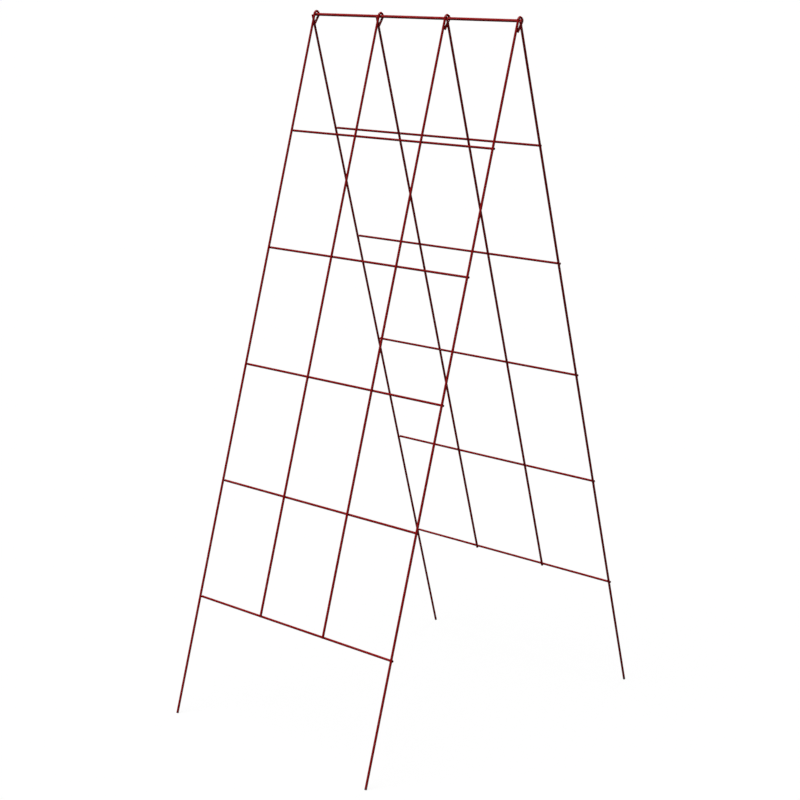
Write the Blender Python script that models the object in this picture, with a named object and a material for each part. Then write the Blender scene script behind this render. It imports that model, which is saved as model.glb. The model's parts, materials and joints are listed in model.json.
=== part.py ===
"""A-frame garden trellis of welded steel wire.

Two flat wire panels lean together. The back panel carries a thicker top rod
across the heads of its four uprights. The heads of the front panel's four
uprights are bent over that rod into long closed loops, so the front panel
swings on the rod. Each panel has five crosswires; the inner uprights stop at
the lowest one, and the outer uprights run on as legs that push into soil.

World axes, in metres: X along the top rod, the front panel leans towards -Y,
Z up, with the origin on the ground at the middle of the footprint.
"""

import math

import bmesh
import bpy
from mathutils import Vector

# ---------------------------------------------------------------- dimensions
UPRIGHT_D = 0.0041        # wire of all uprights, 8 gauge
CROSSWIRE_D = 0.0039      # wire of all crosswires
ROD_D = 0.0050            # top rod
GAP = 0.0003              # kept between wires that touch

MESH_PITCH = 0.2032       # crosswire to crosswire, 8 in
FRONT_FIRST = 0.2017      # rod's axis to the front panel's first crosswire
BACK_FIRST = 0.2034       # and to the back panel's
CROSSWIRES = 5            # on each panel
LEG_LENGTH = 6 * MESH_PITCH    # rod's axis to the cut end of a leg, 48 in
STUB = 0.0010             # inner upright past the lowest crosswire's centre
HEAD = 0.0010             # back upright's top end above the rod's axis

FRONT_OUTER_X = 0.2245    # half spacing of the front panel's outer uprights
FRONT_INNER_X = 0.0734    # and of its inner ones
BACK_OUTER_X = 0.2291     # the back panel is wider, so each loop sits just
BACK_INNER_X = 0.0778     # inboard of the back upright beside it
CROSSWIRE_OVER = 0.0      # crosswire past the outer upright's centre
BACK_TOP_SHORT = 0.0014   # back panel's top crosswire, cut shorter on the right
ROD_LENGTH = 0.4572       # 18 in

OPEN_ANGLE = math.radians(31.84)   # between the panels, as it stands

LOOP_R = 0.00495          # centreline radius of the loop's round top
LOOP_RISE = 0.0005        # its centre above the rod's axis
LOOP_START = LOOP_RISE - 0.001     # where the upright turns into its loop
TAIL_DROP = 0.0180        # tail end below the rod
TAIL_TO_UPRIGHT = 0.0044  # tail end's centre behind its own upright's

STRAIGHT_SIDES = 20       # facets round a straight wire
LOOP_STEPS = 14           # steps round the loop's top

# ------------------------------------------------------------ derived places
FRONT_LOWEST = FRONT_FIRST + (CROSSWIRES - 1) * MESH_PITCH
BACK_LOWEST = BACK_FIRST + (CROSSWIRES - 1) * MESH_PITCH
PANEL_Y = -(ROD_D / 2 + UPRIGHT_D / 2 + GAP)        # uprights, panel frame
LOOP_Y = PANEL_Y + LOOP_R                           # centre of the loop's top
CROSS_STEP = UPRIGHT_D / 2 + CROSSWIRE_D / 2 + GAP  # crosswire off its uprights


def foot(lean, y):
    """Centre and lowest height of a leg's cut end, from the rod's axis."""
    cy = y * math.cos(lean) + LEG_LENGTH * math.sin(lean)
    cz = y * math.sin(lean) - LEG_LENGTH * math.cos(lean)
    return cy, cz, cz - UPRIGHT_D / 2 * abs(math.sin(lean))


def leans():
    """Both panels' leans, so that legs of one length stand on one floor."""
    low, high = 0.3 * OPEN_ANGLE, 0.7 * OPEN_ANGLE
    for _ in range(60):
        front = (low + high) / 2
        if foot(-front, PANEL_Y)[2] > foot(OPEN_ANGLE - front, PANEL_Y)[2]:
            high = front
        else:
            low = front
    return -front, OPEN_ANGLE - front


FRONT_LEAN, BACK_LEAN = leans()
ROD_Z = -foot(BACK_LEAN, PANEL_Y)[2]
FRONT_EDGE = foot(FRONT_LEAN, PANEL_Y)[0] - UPRIGHT_D / 2 * math.cos(FRONT_LEAN)
BACK_EDGE = foot(BACK_LEAN, PANEL_Y)[0] + UPRIGHT_D / 2 * math.cos(BACK_LEAN)
ROD_Y = -(FRONT_EDGE + BACK_EDGE) / 2


# --------------------------------------------------------------- the builders
def clear():
    for thing in list(bpy.data.objects):
        bpy.data.objects.remove(thing, do_unlink=True)


def coat(name, colour, roughness):
    """Powder-coated steel."""
    material = bpy.data.materials.new(name)
    material.use_nodes = True
    shader = material.node_tree.nodes["Principled BSDF"]
    shader.inputs["Base Color"].default_value = (*colour, 1.0)
    shader.inputs["Roughness"].default_value = roughness
    shader.inputs["Metallic"].default_value = 0.0
    material.diffuse_color = (*colour, 1.0)
    return material


def pivot(name, lean):
    """The panel's frame: on the rod's axis, local -Z down its uprights."""
    empty = bpy.data.objects.new(name, None)
    empty.location = (0.0, ROD_Y, ROD_Z)
    empty.rotation_euler = (lean, 0.0, 0.0)
    empty.empty_display_size = 0.05
    bpy.context.scene.collection.objects.link(empty)
    return empty


def wire(name, path, across, diameter, material, parent, at=(0, 0, 0)):
    """A round wire along a flat path, with square-cut ends.

    across is the direction at right angles to the path's plane. Each corner
    of the path gets a mitred ring, so the wire keeps its full thickness.
    """
    sides = STRAIGHT_SIDES
    points = [Vector(p) for p in path]
    across = Vector(across).normalized()
    bm = bmesh.new()
    rings = []
    for i, point in enumerate(points):
        before = (point - points[i - 1]).normalized() if i else None
        after = (
            (points[i + 1] - point).normalized() if i + 1 < len(points) else None
        )
        along = ((before or after) + (after or before)).normalized()
        outward = along.cross(across).normalized()
        spread = 1.0 / max(0.2, along.dot(after or before))
        ring = []
        for k in range(sides):
            turn = 2 * math.pi * k / sides
            ring.append(
                bm.verts.new(
                    point
                    + diameter
                    / 2
                    * (
                        math.cos(turn) * spread * outward
                        + math.sin(turn) * across
                    )
                )
            )
        rings.append(ring)
    for low, high in zip(rings, rings[1:]):
        for k in range(sides):
            n = (k + 1) % sides
            bm.faces.new((low[k], low[n], high[n], high[k]))
    bm.faces.new(list(reversed(rings[0])))
    bm.faces.new(rings[-1])
    bmesh.ops.recalc_face_normals(bm, faces=bm.faces)
    mesh = bpy.data.meshes.new(name)
    bm.to_mesh(mesh)
    bm.free()
    mesh.shade_smooth()
    mesh.set_sharp_from_angle(angle=math.radians(50))
    mesh.materials.append(material)
    thing = bpy.data.objects.new(name, mesh)
    thing.parent = parent
    thing.location = at
    bpy.context.scene.collection.objects.link(thing)
    return thing


def loop_path():
    """The bent head of a front upright: over the rod and back to its upright.

    In the panel's YZ plane, with the rod's axis at the origin. The bend goes
    past the half circle until its straight tail points at its own upright.
    """
    end_y, end_z = PANEL_Y + TAIL_TO_UPRIGHT, -TAIL_DROP
    y, z = LOOP_Y - end_y, LOOP_RISE - end_z
    past = math.atan2(y, z) + math.asin(LOOP_R / math.hypot(y, z))
    path = [(0.0, PANEL_Y, LOOP_START)]
    for i in range(LOOP_STEPS + 1):
        turn = math.pi - (math.pi + past) * i / LOOP_STEPS
        path.append(
            (
                0.0,
                LOOP_Y + LOOP_R * math.cos(turn),
                LOOP_RISE + LOOP_R * math.sin(turn),
            )
        )
    path.append((0.0, end_y, end_z))
    return path


def crosswires(panel, half, y, first, top_short, material, parent):
    for i in range(CROSSWIRES):
        right = half if i else half - top_short
        wire(
            f"{panel}_crosswire_{i + 1}",
            [(-half, 0, 0), (right, 0, 0)],
            (0, 1, 0),
            CROSSWIRE_D,
            material,
            parent,
            at=(0, y, -(first + i * MESH_PITCH)),
        )


def main():
    clear()
    front_coat = coat("front_panel_red", (0.44, 0.008, 0.009), 0.32)
    back_coat = coat("back_panel_red", (0.43, 0.007, 0.008), 0.32)
    rod_coat = coat("top_rod_red", (0.46, 0.024, 0.025), 0.34)

    front = pivot("front_panel_pivot", FRONT_LEAN)
    back = pivot("back_panel_pivot", BACK_LEAN)

    # back panel: four uprights, the rod over their heads, five crosswires
    for name, x, foot_z in (
        ("back_leg_left", -BACK_OUTER_X, -LEG_LENGTH),
        ("back_upright_left", -BACK_INNER_X, -(BACK_LOWEST + STUB)),
        ("back_upright_right", BACK_INNER_X, -(BACK_LOWEST + STUB)),
        ("back_leg_right", BACK_OUTER_X, -LEG_LENGTH),
    ):
        wire(
            name,
            [(0, PANEL_Y, foot_z), (0, PANEL_Y, HEAD)],
            (1, 0, 0),
            UPRIGHT_D,
            back_coat,
            back,
            at=(x, 0, 0),
        )
    half = ROD_LENGTH / 2
    wire("top_rod", [(-half, 0, 0), (half, 0, 0)], (0, 1, 0), ROD_D, rod_coat, back)
    crosswires(
        "back",
        BACK_OUTER_X + CROSSWIRE_OVER,
        PANEL_Y + CROSS_STEP,
        BACK_FIRST,
        BACK_TOP_SHORT,
        back_coat,
        back,
    )

    # front panel: four uprights looped over the rod, five crosswires; each
    # upright and its loop are one bent wire, drawn as a straight and a bend
    for name, loop, x, foot_z in (
        ("front_leg_left", "front_loop_outer_left", -FRONT_OUTER_X, -LEG_LENGTH),
        (
            "front_upright_left",
            "front_loop_inner_left",
            -FRONT_INNER_X,
            -(FRONT_LOWEST + STUB),
        ),
        (
            "front_upright_right",
            "front_loop_inner_right",
            FRONT_INNER_X,
            -(FRONT_LOWEST + STUB),
        ),
        ("front_leg_right", "front_loop_outer_right", FRONT_OUTER_X, -LEG_LENGTH),
    ):
        wire(
            name,
            [(0, PANEL_Y, foot_z), (0, PANEL_Y, LOOP_START - GAP)],
            (1, 0, 0),
            UPRIGHT_D,
            front_coat,
            front,
            at=(x, 0, 0),
        )
        wire(
            loop,
            loop_path(),
            (1, 0, 0),
            UPRIGHT_D,
            front_coat,
            front,
            at=(x, 0, 0),
        )
    crosswires(
        "front",
        FRONT_OUTER_X + CROSSWIRE_OVER,
        PANEL_Y + CROSS_STEP,
        FRONT_FIRST,
        0.0,
        front_coat,
        front,
    )


main()
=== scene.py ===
import json
import math

import bmesh
import bpy
import numpy as np
from mathutils import Matrix, Vector


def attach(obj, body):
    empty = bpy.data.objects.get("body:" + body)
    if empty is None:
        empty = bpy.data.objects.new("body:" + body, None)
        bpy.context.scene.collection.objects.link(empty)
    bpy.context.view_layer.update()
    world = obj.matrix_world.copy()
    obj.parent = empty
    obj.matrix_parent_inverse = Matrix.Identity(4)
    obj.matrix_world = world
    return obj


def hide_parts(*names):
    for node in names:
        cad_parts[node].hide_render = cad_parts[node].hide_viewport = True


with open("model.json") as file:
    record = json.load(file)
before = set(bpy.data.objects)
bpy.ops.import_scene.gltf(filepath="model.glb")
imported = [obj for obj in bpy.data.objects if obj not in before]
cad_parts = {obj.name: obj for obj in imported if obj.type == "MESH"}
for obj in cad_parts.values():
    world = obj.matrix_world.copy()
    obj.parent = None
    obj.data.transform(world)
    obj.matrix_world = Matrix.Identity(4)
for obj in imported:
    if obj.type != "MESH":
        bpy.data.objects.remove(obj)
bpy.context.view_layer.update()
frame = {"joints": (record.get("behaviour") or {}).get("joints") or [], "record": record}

# The looks of the wire trellis: every wire again as one smooth, finely made
# piece with softened cut ends, the weld fillets where wires cross, and a
# glossy red coat that has worn where loops rub the rod and at the feet.

# ------------------------------------------------------------- sizes, metres
UPRIGHT_R = 0.00205
CROSSWIRE_R = 0.00195
ROD_R = 0.0025
GAP = 0.0003
PITCH = 0.2032
FRONT_FIRST, BACK_FIRST = 0.2017, 0.2034
LEG_LENGTH = 6 * PITCH
STUB = 0.0010
HEAD = 0.0010
FRONT_X = (-0.2245, -0.0734, 0.0734, 0.2245)
BACK_X = (-0.2291, -0.0778, 0.0778, 0.2291)
CROSSWIRE_OVER = 0.0
BACK_TOP_SHORT = 0.0014
ROD_HALF = 0.2286
LOOP_R = 0.00495
LOOP_RISE = 0.0005
TAIL_DROP = 0.0180
TAIL_TO_UPRIGHT = 0.0044
PANEL_Y = -(ROD_R + UPRIGHT_R + GAP)
LOOP_Y = PANEL_Y + LOOP_R
CROSS_Y = PANEL_Y + UPRIGHT_R + CROSSWIRE_R + GAP
SIDES = 32
RING_STEP = 0.006
EDGE = 0.00035            # softened edge of a cut end

ROD = Vector(frame["joints"][0]["pos_m"])
FEET = {m["name"]: m["axis"] for m in frame["record"]["mounts"]}


def lean_of(mount):
    axis = FEET[mount]
    return math.atan2(axis[1], -axis[2])


PANELS = {
    "front_panel": Matrix.Translation(ROD)
    @ Matrix.Rotation(lean_of("front_left_foot"), 4, "X"),
    "back_panel": Matrix.Translation(ROD)
    @ Matrix.Rotation(lean_of("back_left_foot"), 4, "X"),
}


# ------------------------------------------------------------------- materials
def powder_coat(name, colour, seed):
    """Glossy red powder coat: orange peel, uneven gloss and pigment, and bare
    steel where the mesh's wear attribute is high."""
    material = bpy.data.materials.new(name)
    material.use_nodes = True
    tree = material.node_tree
    nodes, links = tree.nodes, tree.links
    shader = nodes["Principled BSDF"]
    shader.inputs["IOR"].default_value = 1.5
    shader.inputs["Specular IOR Level"].default_value = 0.45
    shader.inputs["Coat Weight"].default_value = 0.10
    shader.inputs["Coat Roughness"].default_value = 0.12

    where = nodes.new("ShaderNodeTexCoord")

    def noise(scale, detail, rough=0.5, shift=0.0):
        move = nodes.new("ShaderNodeMapping")
        move.inputs["Location"].default_value = (seed + shift, seed * 1.7, shift)
        links.new(where.outputs["Object"], move.inputs["Vector"])
        made = nodes.new("ShaderNodeTexNoise")
        made.inputs["Scale"].default_value = scale
        made.inputs["Detail"].default_value = detail
        made.inputs["Roughness"].default_value = rough
        links.new(move.outputs["Vector"], made.inputs["Vector"])
        return made.outputs["Fac"]

    def spread(value, low, high, to_low, to_high):
        change = nodes.new("ShaderNodeMapRange")
        change.inputs["From Min"].default_value = low
        change.inputs["From Max"].default_value = high
        change.inputs["To Min"].default_value = to_low
        change.inputs["To Max"].default_value = to_high
        links.new(value, change.inputs["Value"])
        return change.outputs["Result"]

    def mixed(kind, factor, a, b):
        mix = nodes.new("ShaderNodeMix")
        mix.data_type = kind
        at = {"RGBA": (6, 7, 2), "FLOAT": (2, 3, 0)}[kind]
        links.new(factor, mix.inputs[0])
        for socket, value in ((mix.inputs[at[0]], a), (mix.inputs[at[1]], b)):
            if isinstance(value, bpy.types.NodeSocket):
                links.new(value, socket)
            else:
                socket.default_value = value
        return mix.outputs[at[2]]

    # pigment: a slow drift in depth along each wire, and a finer mottle
    deep = tuple(c * 0.90 for c in colour) + (1.0,)
    full = tuple(c * 1.10 for c in colour) + (1.0,)
    drift = spread(noise(14.0, 2.0), 0.3, 0.7, 0.0, 1.0)
    mottle = spread(noise(420.0, 3.0, shift=3.1), 0.35, 0.65, 0.0, 1.0)
    both = nodes.new("ShaderNodeMath")
    both.operation = "MULTIPLY_ADD"
    links.new(mottle, both.inputs[0])
    both.inputs[1].default_value = 0.35
    links.new(spread(drift, 0.0, 1.0, 0.0, 0.65), both.inputs[2])
    paint = mixed("RGBA", both.outputs[0], deep, full)

    # wear: bare steel where the attribute beats a fine noise, with a thin
    # dull rim of thinned coat around it
    wear = nodes.new("ShaderNodeAttribute")
    wear.attribute_name = "wear"
    chips = noise(900.0, 4.0, 0.6, shift=7.7)
    level = nodes.new("ShaderNodeMath")
    level.operation = "ADD"
    links.new(wear.outputs["Fac"], level.inputs[0])
    links.new(spread(chips, 0.3, 0.7, -0.35, 0.35), level.inputs[1])
    bare = spread(level.outputs[0], 0.72, 0.80, 0.0, 1.0)
    thin = spread(level.outputs[0], 0.45, 0.72, 0.0, 1.0)
    thinned = mixed("RGBA", thin, paint, tuple(c * 0.55 for c in colour) + (1.0,))
    steel = mixed(
        "RGBA", mottle, (0.20, 0.19, 0.18, 1.0), (0.34, 0.33, 0.32, 1.0)
    )
    links.new(mixed("RGBA", bare, thinned, steel), shader.inputs["Base Color"])
    links.new(bare, shader.inputs["Metallic"])

    # gloss: uneven flow of the coat, duller where it has been rubbed
    gloss = spread(noise(95.0, 3.0, shift=1.3), 0.3, 0.7, 0.20, 0.34)
    links.new(
        mixed("FLOAT", thin, gloss, 0.50), shader.inputs["Roughness"]
    )

    # relief: orange peel about a millimetre across, and fine grain
    peel = nodes.new("ShaderNodeBump")
    peel.inputs["Strength"].default_value = 0.80
    peel.inputs["Distance"].default_value = 0.00007
    links.new(noise(1100.0, 2.0, 0.45, shift=5.0), peel.inputs["Height"])
    grain = nodes.new("ShaderNodeBump")
    grain.inputs["Strength"].default_value = 0.40
    grain.inputs["Distance"].default_value = 0.00002
    links.new(noise(3200.0, 2.0, 0.5, shift=9.0), grain.inputs["Height"])
    links.new(peel.outputs["Normal"], grain.inputs["Normal"])
    links.new(grain.outputs["Normal"], shader.inputs["Normal"])
    return material


COATS = {
    "front_panel_red": powder_coat("coat_front", (0.440, 0.0080, 0.0090), 0.0),
    "back_panel_red": powder_coat("coat_back", (0.430, 0.0070, 0.0080), 4.0),
    # painted light: the rod gets a lighter, pinker copy of the same red, standing in for the
    # top light and sheen it catches
    "top_rod_red": powder_coat("coat_rod_painted_light", (0.485, 0.0250, 0.0260), 8.0),
}
# painted shade: the crosswires get a darker copy of the same red as the uprights, standing
# in for shade on the same paint
CROSSWIRE_PAINTED_SHADE = {
    "front_panel_red": powder_coat("coat_front_painted_shade", (0.370, 0.0075, 0.0085), 2.0),
    "back_panel_red": powder_coat("coat_back_painted_shade", (0.360, 0.0070, 0.0080), 6.0),
}


# ---------------------------------------------------------------- the builders
def finish_piece(thing, body, slot, nodes=()):
    mesh = thing.data
    # painted shade: crosswires take the darker copy of their panel's red, every other piece
    # the plain coat
    mesh.materials.append((CROSSWIRE_PAINTED_SHADE if "crosswire" in thing.name else COATS)[slot])
    bpy.context.scene.collection.objects.link(thing)
    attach(thing, body)
    if nodes:
        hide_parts(*nodes)
    return thing


def stations(points):
    """Distance along a polyline at each of its points."""
    steps = np.linalg.norm(np.diff(points, axis=0), axis=1)
    return np.concatenate([[0.0], np.cumsum(steps)])


def wire(name, body, slot, path, radius, across, nodes, wear=None):
    """A round wire along a flat path, in the panel's frame.

    The path's points are where the wire bends; straight stretches get rings
    RING_STEP apart. The cut ends are flat with a softened edge. wear is a
    function of a surface point and its station, giving 0 to 1.
    """
    points = np.array(path, float)
    at = stations(points)
    total = at[-1]
    marks = [0.0, total]
    for a, b in zip(at, at[1:]):
        pieces = max(1, int(math.ceil((b - a) / RING_STEP)))
        marks += [a + (b - a) * i / pieces for i in range(pieces + 1)]
    inner = sorted({round(m, 9) for m in marks if EDGE * 1.5 < m < total - EDGE * 1.5})
    rounding = [
        (EDGE * (1 - math.cos(t)), radius - EDGE + EDGE * math.sin(t))
        for t in (math.pi / 2 * i / 4 for i in range(5))
    ]
    rings = (
        [(s, r) for s, r in rounding]
        + [(s, radius) for s in inner]
        + [(total - s, r) for s, r in reversed(rounding)]
    )
    across = np.array(across, float)

    def point_at(s):
        return np.array([np.interp(s, at, points[:, k]) for k in range(3)])

    def way_at(s):
        a, b = max(0.0, s - 2e-4), min(total, s + 2e-4)
        way = point_at(b) - point_at(a)
        return way / np.linalg.norm(way)

    turns = np.linspace(0, 2 * math.pi, SIDES, endpoint=False)
    vertices, stations_of = [], []
    for s, r in rings:
        centre, way = point_at(s), way_at(s)
        out = np.cross(way, across)
        ring = centre + r * (
            np.cos(turns)[:, None] * out + np.sin(turns)[:, None] * across
        )
        vertices.append(ring)
        stations_of += [s] * SIDES
    vertices = np.concatenate(vertices)
    count = len(rings)
    faces = []
    for i in range(count - 1):
        for k in range(SIDES):
            n = (k + 1) % SIDES
            faces.append(
                (i * SIDES + k, i * SIDES + n, (i + 1) * SIDES + n, (i + 1) * SIDES + k)
            )
    first, last = len(vertices), len(vertices) + 1
    vertices = np.concatenate([vertices, [point_at(0.0)], [point_at(total)]])
    stations_of += [0.0, total]
    for k in range(SIDES):
        n = (k + 1) % SIDES
        faces.append((first, n, k))
        faces.append((last, (count - 1) * SIDES + k, (count - 1) * SIDES + n))

    to_world = np.array(PANELS[body])
    world = vertices @ to_world[:3, :3].T + to_world[:3, 3]
    mesh = bpy.data.meshes.new(name)
    mesh.from_pydata(world.tolist(), [], faces)
    bm = bmesh.new()
    bm.from_mesh(mesh)
    bmesh.ops.recalc_face_normals(bm, faces=bm.faces)
    bm.to_mesh(mesh)
    bm.free()
    mesh.shade_smooth()
    worn = mesh.attributes.new("wear", "FLOAT", "POINT")
    values = [
        wear(v, s, total) if wear else 0.0 for v, s in zip(vertices, stations_of)
    ]
    worn.data.foreach_set("value", np.clip(values, 0, 1).astype(np.float32))
    lay_out(mesh, rings, total, radius, count)
    mesh.update()
    return finish_piece(bpy.data.objects.new(name, mesh), body, slot, nodes)


def lay_out(mesh, rings, total, radius, count):
    """A UV map in strips side by side, so that a long thin wire fills a
    square map evenly. The cut ends lie in a last strip of their own."""
    around = 2 * math.pi * radius
    strips = max(1, round(math.sqrt(total / around)))
    per_strip = math.ceil((count - 1) / strips)
    strips = math.ceil((count - 1) / per_strip)
    longest = max(
        rings[min(count - 1, (j + 1) * per_strip)][0] - rings[j * per_strip][0]
        for j in range(strips)
    )
    width = (strips + 1) * around
    scale = 1.0 / max(width * 1.06, longest * 1.06)
    layer = mesh.uv_layers.new(name="OFBake")
    uv = np.zeros(len(mesh.loops) * 2)
    for face in mesh.polygons:
        i = face.index
        if i < (count - 1) * SIDES:
            row, k = divmod(i, SIDES)
            strip = row // per_strip
            base = rings[strip * per_strip][0]
            corners = {
                row * SIDES + k: (k, row),
                row * SIDES + (k + 1) % SIDES: (k + 1, row),
                (row + 1) * SIDES + (k + 1) % SIDES: (k + 1, row + 1),
                (row + 1) * SIDES + k: (k, row + 1),
            }
            for loop in face.loop_indices:
                side, ring = corners[mesh.loops[loop].vertex_index]
                u = strip * around * 1.04 + around * side / SIDES
                v = rings[ring][0] - base
                uv[2 * loop] = 0.01 + u * scale
                uv[2 * loop + 1] = 0.01 + v * scale
        else:
            end = (i - (count - 1) * SIDES) % 2
            centre = (
                (strips * 1.04 + 0.55) * around,
                radius * 1.3 + end * radius * 2.8,
            )
            first = (count - 1) * SIDES if end else 0
            for loop in face.loop_indices:
                vertex = mesh.loops[loop].vertex_index
                if vertex >= count * SIDES:
                    u, v = centre
                else:
                    turn = 2 * math.pi * (vertex - first) / SIDES
                    u = centre[0] + radius * math.cos(turn)
                    v = centre[1] + radius * math.sin(turn)
                uv[2 * loop] = 0.01 + u * scale
                uv[2 * loop + 1] = 0.01 + v * scale
    layer.data.foreach_set("uv", uv)


def loop_path(foot):
    """Front upright: up from its foot, over the rod, and back to itself."""
    end_y, end_z = PANEL_Y + TAIL_TO_UPRIGHT, -TAIL_DROP
    y, z = LOOP_Y - end_y, LOOP_RISE - end_z
    past = math.atan2(y, z) + math.asin(LOOP_R / math.hypot(y, z))
    path = [(0.0, PANEL_Y, foot)]
    for i in range(57):
        turn = math.pi - (math.pi + past) * i / 56
        path.append(
            (0.0, LOOP_Y + LOOP_R * math.cos(turn), LOOP_RISE + LOOP_R * math.sin(turn))
        )
    return path + [(0.0, end_y, end_z)]


def shifted(path, x):
    return [(p[0] + x, p[1], p[2]) for p in path]


# --------------------------------------------------------------------- wear
def near_end(distance, reach, most):
    return most * math.exp(-((distance / reach) ** 2))


def leg_wear(foot, x):
    """The foot's cut edge, scuffed by ground and paving, and the inside of
    the loop where it turns on the rod."""

    is_leg = foot < -(front_lowest + 0.1)

    def wear(v, s, total):
        rim = math.hypot(v[0] - x, v[1] - PANEL_Y) / UPRIGHT_R
        at_foot = near_end(s, 0.0012, 0.80) * (0.55 + 0.45 * rim) if is_leg else 0.0
        scuffs = near_end(s, 0.030, 0.34) if is_leg else near_end(s, 0.0006, 0.45)
        on_rod = math.hypot(v[1], v[2])
        inside = 0.0
        if v[2] > 0 and on_rod < ROD_R + GAP + 0.0022:
            inside = 0.62 * (1 - (on_rod - ROD_R - GAP) / 0.0022)
        return max(at_foot, scuffs, inside, near_end(total - s, 0.0006, 0.5))

    return wear


def end_wear(v, s, total):
    return max(near_end(s, 0.0006, 0.50), near_end(total - s, 0.0006, 0.50))


def back_leg_wear(v, s, total):
    return max(
        near_end(s, 0.0012, 0.80), near_end(s, 0.030, 0.34), near_end(total - s, 0.0006, 0.5)
    )


def rod_wear(v, s, total):
    """Bright bands on the top of the rod, as wide as each loop's side play."""
    most = near_end(min(s, total - s), 0.0006, 0.50)
    up = v[2] / ROD_R
    for x in FRONT_X:
        away = max(0.0, abs(v[0] - x) - 0.0012)
        most = max(most, 0.80 * math.exp(-((away / 0.0012) ** 2)) * max(0.0, up) ** 0.6)
    return most


# ------------------------------------------------------------------- the wires
front_lowest = FRONT_FIRST + 4 * PITCH
back_lowest = BACK_FIRST + 4 * PITCH
UPRIGHTS = (
    ("leg_left", "outer_left"),
    ("upright_left", "inner_left"),
    ("upright_right", "inner_right"),
    ("leg_right", "outer_right"),
)

for (name, loop), x in zip(UPRIGHTS, FRONT_X):
    foot = -LEG_LENGTH if name.startswith("leg") else -(front_lowest + STUB)
    wire(
        f"front_{name}_wire",
        "front_panel",
        "front_panel_red",
        shifted(loop_path(foot), x),
        UPRIGHT_R,
        (1, 0, 0),
        (f"front_{name}", f"front_loop_{loop}"),
        leg_wear(foot, x),
    )
for (name, _), x in zip(UPRIGHTS, BACK_X):
    foot = -LEG_LENGTH if name.startswith("leg") else -(back_lowest + STUB)
    wire(
        f"back_{name}_wire",
        "back_panel",
        "back_panel_red",
        [(x, PANEL_Y, foot), (x, PANEL_Y, HEAD)],
        UPRIGHT_R,
        (1, 0, 0),
        (f"back_{name}",),
        back_leg_wear if name.startswith("leg") else end_wear,
    )
for panel, outer, first in (
    ("front", FRONT_X[3], FRONT_FIRST),
    ("back", BACK_X[3], BACK_FIRST),
):
    for i in range(5):
        half, z = outer + CROSSWIRE_OVER, -(first + i * PITCH)
        right_end = half - BACK_TOP_SHORT if (panel, i) == ("back", 0) else half
        wire(
            f"{panel}_crosswire_{i + 1}_wire",
            f"{panel}_panel",
            f"{panel}_panel_red",
            [(-half, CROSS_Y, z), (right_end, CROSS_Y, z)],
            CROSSWIRE_R,
            (0, 1, 0),
            (f"{panel}_crosswire_{i + 1}",),
            end_wear,
        )
half = ROD_HALF
wire(
    "top_rod_wire",
    "back_panel",
    "top_rod_red",
    [(-half, 0, 0), (half, 0, 0)],
    ROD_R,
    (0, 1, 0),
    ("top_rod",),
    rod_wear,
)


# ------------------------------------------------------------------- the welds
def sphere_ways(rows=22, columns=36):
    """Directions over a sphere, in rows from pole to pole."""
    ways = [(0.0, 0.0, 1.0)]
    for i in range(1, rows):
        a = math.pi * i / rows
        for j in range(columns):
            b = 2 * math.pi * j / columns
            ways.append(
                (math.sin(a) * math.cos(b), math.sin(a) * math.sin(b), math.cos(a))
            )
    ways.append((0.0, 0.0, -1.0))
    faces = []
    for j in range(columns):
        n = (j + 1) % columns
        faces.append((0, 1 + j, 1 + n))
        for i in range(rows - 2):
            a, b = 1 + i * columns, 1 + (i + 1) * columns
            faces.append((a + j, b + j, b + n, a + n))
        base = 1 + (rows - 2) * columns
        faces.append((len(ways) - 1, base + n, base + j))
    return np.array(ways), faces


WAYS, WAY_FACES = sphere_ways()


def fused(p, upright_r, upright_top, upright_foot, across_r, across_ends, k, lumps):
    """How far a point is outside an upright (along Z) and a crossing wire
    (along X) that melt into each other. The point is measured from the middle
    of the gap between them, with the upright on the -Y side."""
    x, y, z = p[:, 0], p[:, 1], p[:, 2]
    a = np.hypot(x, y + upright_r + GAP / 2) - upright_r
    a = np.maximum(a, np.maximum(z - upright_top, upright_foot - z))
    b = np.hypot(z, y - across_r - GAP / 2) - across_r
    b = np.maximum(b, np.maximum(x - across_ends[1], across_ends[0] - x))
    h = np.clip(0.5 + 0.5 * (b - a) / k, 0, 1)
    joined = b * (1 - h) + a * h - k * h * (1 - h)
    rough = sum(
        amount * np.sin(p @ np.array(way) + phase) for amount, way, phase in lumps
    )
    melted = 4 * h * (1 - h)
    return joined + 0.00003 - rough * melted


def weld(centre, seed, upright_r, across_r, ends, across_ends):
    """One resistance weld: the fillet squeezed out round the crossing."""
    rng = np.random.default_rng(seed)
    k = rng.uniform(0.0014, 0.0019)
    lumps = [
        (
            rng.uniform(0.00002, 0.00007),
            rng.normal(size=3) * 1700.0,
            rng.uniform(0, 2 * math.pi),
        )
        for _ in range(4)
    ]
    reach = 1.75 * max(upright_r, across_r)
    # grown from a point on the crossing wire, where that one stops short
    inside = min(max(0.0, across_ends[0] + 0.0006), across_ends[1] - 0.0006)
    origin = np.array([inside, 0.0, 0.0])
    low, high = np.zeros(len(WAYS)), np.full(len(WAYS), reach)
    for _ in range(26):
        middle = (low + high) / 2
        outside = (
            fused(
                origin + WAYS * middle[:, None],
                upright_r,
                ends[1],
                ends[0],
                across_r,
                across_ends,
                k,
                lumps,
            )
            > 0
        )
        high = np.where(outside, middle, high)
        low = np.where(outside, low, middle)
    return origin + WAYS * low[:, None] + np.array(centre)


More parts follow.
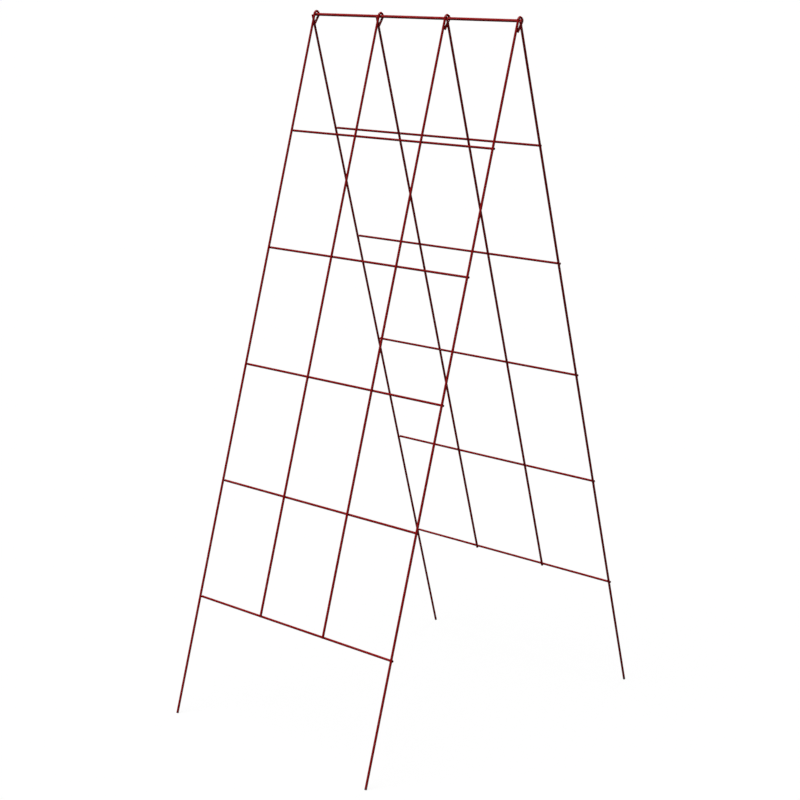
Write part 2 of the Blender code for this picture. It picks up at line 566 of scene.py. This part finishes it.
def weld_piece(name, body, slot, welds):
    vertices, faces = [], []
    for points in welds:
        base = sum(len(v) for v in vertices)
        vertices.append(points)
        faces += [tuple(base + i for i in face) for face in WAY_FACES]
    local = np.concatenate(vertices)
    to_world = np.array(PANELS[body])
    world = local @ to_world[:3, :3].T + to_world[:3, 3]
    mesh = bpy.data.meshes.new(name)
    mesh.from_pydata(world.tolist(), [], faces)
    bm = bmesh.new()
    bm.from_mesh(mesh)
    bmesh.ops.recalc_face_normals(bm, faces=bm.faces)
    bm.to_mesh(mesh)
    bm.free()
    mesh.shade_smooth()
    mesh.attributes.new("wear", "FLOAT", "POINT")
    mesh.update()
    return finish_piece(bpy.data.objects.new(name, mesh), body, slot)


FAR = 1.0
for number, (panel, xs, first, lowest) in enumerate(
    (
        ("front", FRONT_X, FRONT_FIRST, front_lowest),
        ("back", BACK_X, BACK_FIRST, back_lowest),
    )
):
    middle_y = PANEL_Y + UPRIGHT_R + GAP / 2
    outer = xs[3] + CROSSWIRE_OVER
    for i in range(5):
        z = -(first + i * PITCH)
        right_end = outer - BACK_TOP_SHORT if (panel, i) == ("back", 0) else outer
        made = []
        for column, x in enumerate(xs):
            stops = i == 4 and column in (1, 2)
            made.append(
                weld(
                    (x, middle_y, z),
                    100 * number + 10 * i + column,
                    UPRIGHT_R,
                    CROSSWIRE_R,
                    (-STUB + 0.0002 if stops else -FAR, FAR),
                    (-outer - x + 0.0002, right_end - x - 0.0002),
                )
            )
        weld_piece(f"{panel}_welds_{i + 1}", f"{panel}_panel", f"{panel}_panel_red", made)

weld_piece(
    "rod_welds",
    "back_panel",
    "back_panel_red",
    [
        weld(
            (x, PANEL_Y + UPRIGHT_R + GAP / 2, 0.0),
            500 + column,
            UPRIGHT_R,
            ROD_R,
            (-FAR, HEAD - 0.0002),
            (-half - x + 0.0002, half - x - 0.0002),
        )
        for column, x in enumerate(BACK_X)
    ],
)

# ------------------------------------------------------ floor, light and camera
floor_mesh = bpy.data.meshes.new("floor")
floor_mesh.from_pydata(
    [(-150, -150, 0), (150, -150, 0), (150, 150, 0), (-150, 150, 0)],
    [],
    [(0, 1, 2, 3)],
)
floor = bpy.data.objects.new("floor", floor_mesh)
bpy.context.scene.collection.objects.link(floor)
floor.location.z = -0.0002
pale = bpy.data.materials.new("pale_floor")
pale.use_nodes = True
tree = pale.node_tree
tree.nodes.clear()
output = tree.nodes.new("ShaderNodeOutputMaterial")
glow = tree.nodes.new("ShaderNodeEmission")
glow.inputs["Color"].default_value = (0.901, 0.901, 0.901, 1)
shade = tree.nodes.new("ShaderNodeBsdfDiffuse")
shade.inputs["Color"].default_value = (0.11, 0.11, 0.11, 1)
seen = tree.nodes.new("ShaderNodeAddShader")
tree.links.new(glow.outputs[0], seen.inputs[0])
tree.links.new(shade.outputs[0], seen.inputs[1])
thrown = tree.nodes.new("ShaderNodeBsdfDiffuse")
thrown.inputs["Color"].default_value = (0.07, 0.07, 0.07, 1)
path = tree.nodes.new("ShaderNodeLightPath")
choose = tree.nodes.new("ShaderNodeMixShader")
tree.links.new(path.outputs["Is Camera Ray"], choose.inputs[0])
tree.links.new(thrown.outputs[0], choose.inputs[1])
tree.links.new(seen.outputs[0], choose.inputs[2])
tree.links.new(choose.outputs[0], output.inputs["Surface"])
floor_mesh.materials.append(pale)

world = bpy.data.worlds.new("studio")
bpy.context.scene.world = world
world.use_nodes = True
tree = world.node_tree
tree.nodes.clear()
output = tree.nodes.new("ShaderNodeOutputWorld")
backdrop = tree.nodes.new("ShaderNodeBackground")
backdrop.inputs["Color"].default_value = (1, 1, 1, 1)
backdrop.inputs["Strength"].default_value = 1.0
ambient = tree.nodes.new("ShaderNodeBackground")
ambient.inputs["Color"].default_value = (1, 1, 1, 1)
ambient.inputs["Strength"].default_value = 0.030
path = tree.nodes.new("ShaderNodeLightPath")
choose = tree.nodes.new("ShaderNodeMixShader")
tree.links.new(path.outputs["Is Camera Ray"], choose.inputs[0])
tree.links.new(ambient.outputs[0], choose.inputs[1])
tree.links.new(backdrop.outputs[0], choose.inputs[2])
tree.links.new(choose.outputs[0], output.inputs["Surface"])


def sun(name, azimuth, elevation, strength, spread):
    """A soft lamp far off. Azimuth 0 is in front of the trellis, on the -Y
    side, and 90 is on its +X side."""
    lamp = bpy.data.lights.new(name, "SUN")
    lamp.energy = strength
    lamp.angle = math.radians(spread)
    thing = bpy.data.objects.new(name, lamp)
    a, e = math.radians(azimuth), math.radians(elevation)
    back = Vector(
        (math.sin(a) * math.cos(e), -math.cos(a) * math.cos(e), math.sin(e))
    )
    thing.rotation_euler = back.to_track_quat("Z", "Y").to_euler()
    bpy.context.scene.collection.objects.link(thing)
    return thing


sun("key", 0, 70, 2.7, 40)
sun("back", 198, 14, 1.3, 20)

camera_data = bpy.data.cameras.new("camera")
camera_data.sensor_width = 36.0
camera_data.lens = 85.1463
camera_data.clip_start, camera_data.clip_end = 0.05, 500.0
camera = bpy.data.objects.new("camera", camera_data)
right = Vector((0.7312959, 0.6819879, 0.0099398))
down = Vector((0.1579858, -0.1551953, -0.9751692))
ahead = Vector((-0.6635109, 0.7147076, -0.2212381))
turn = Matrix((right, -down, -ahead)).transposed()
camera.matrix_world = Matrix.Translation((2.1255904, -2.3123637, 1.2468961)) @ turn.to_4x4()
bpy.context.scene.collection.objects.link(camera)
bpy.context.scene.camera = camera
bpy.context.scene.view_settings.view_transform = "Standard"
bpy.context.scene.view_settings.look = "None"
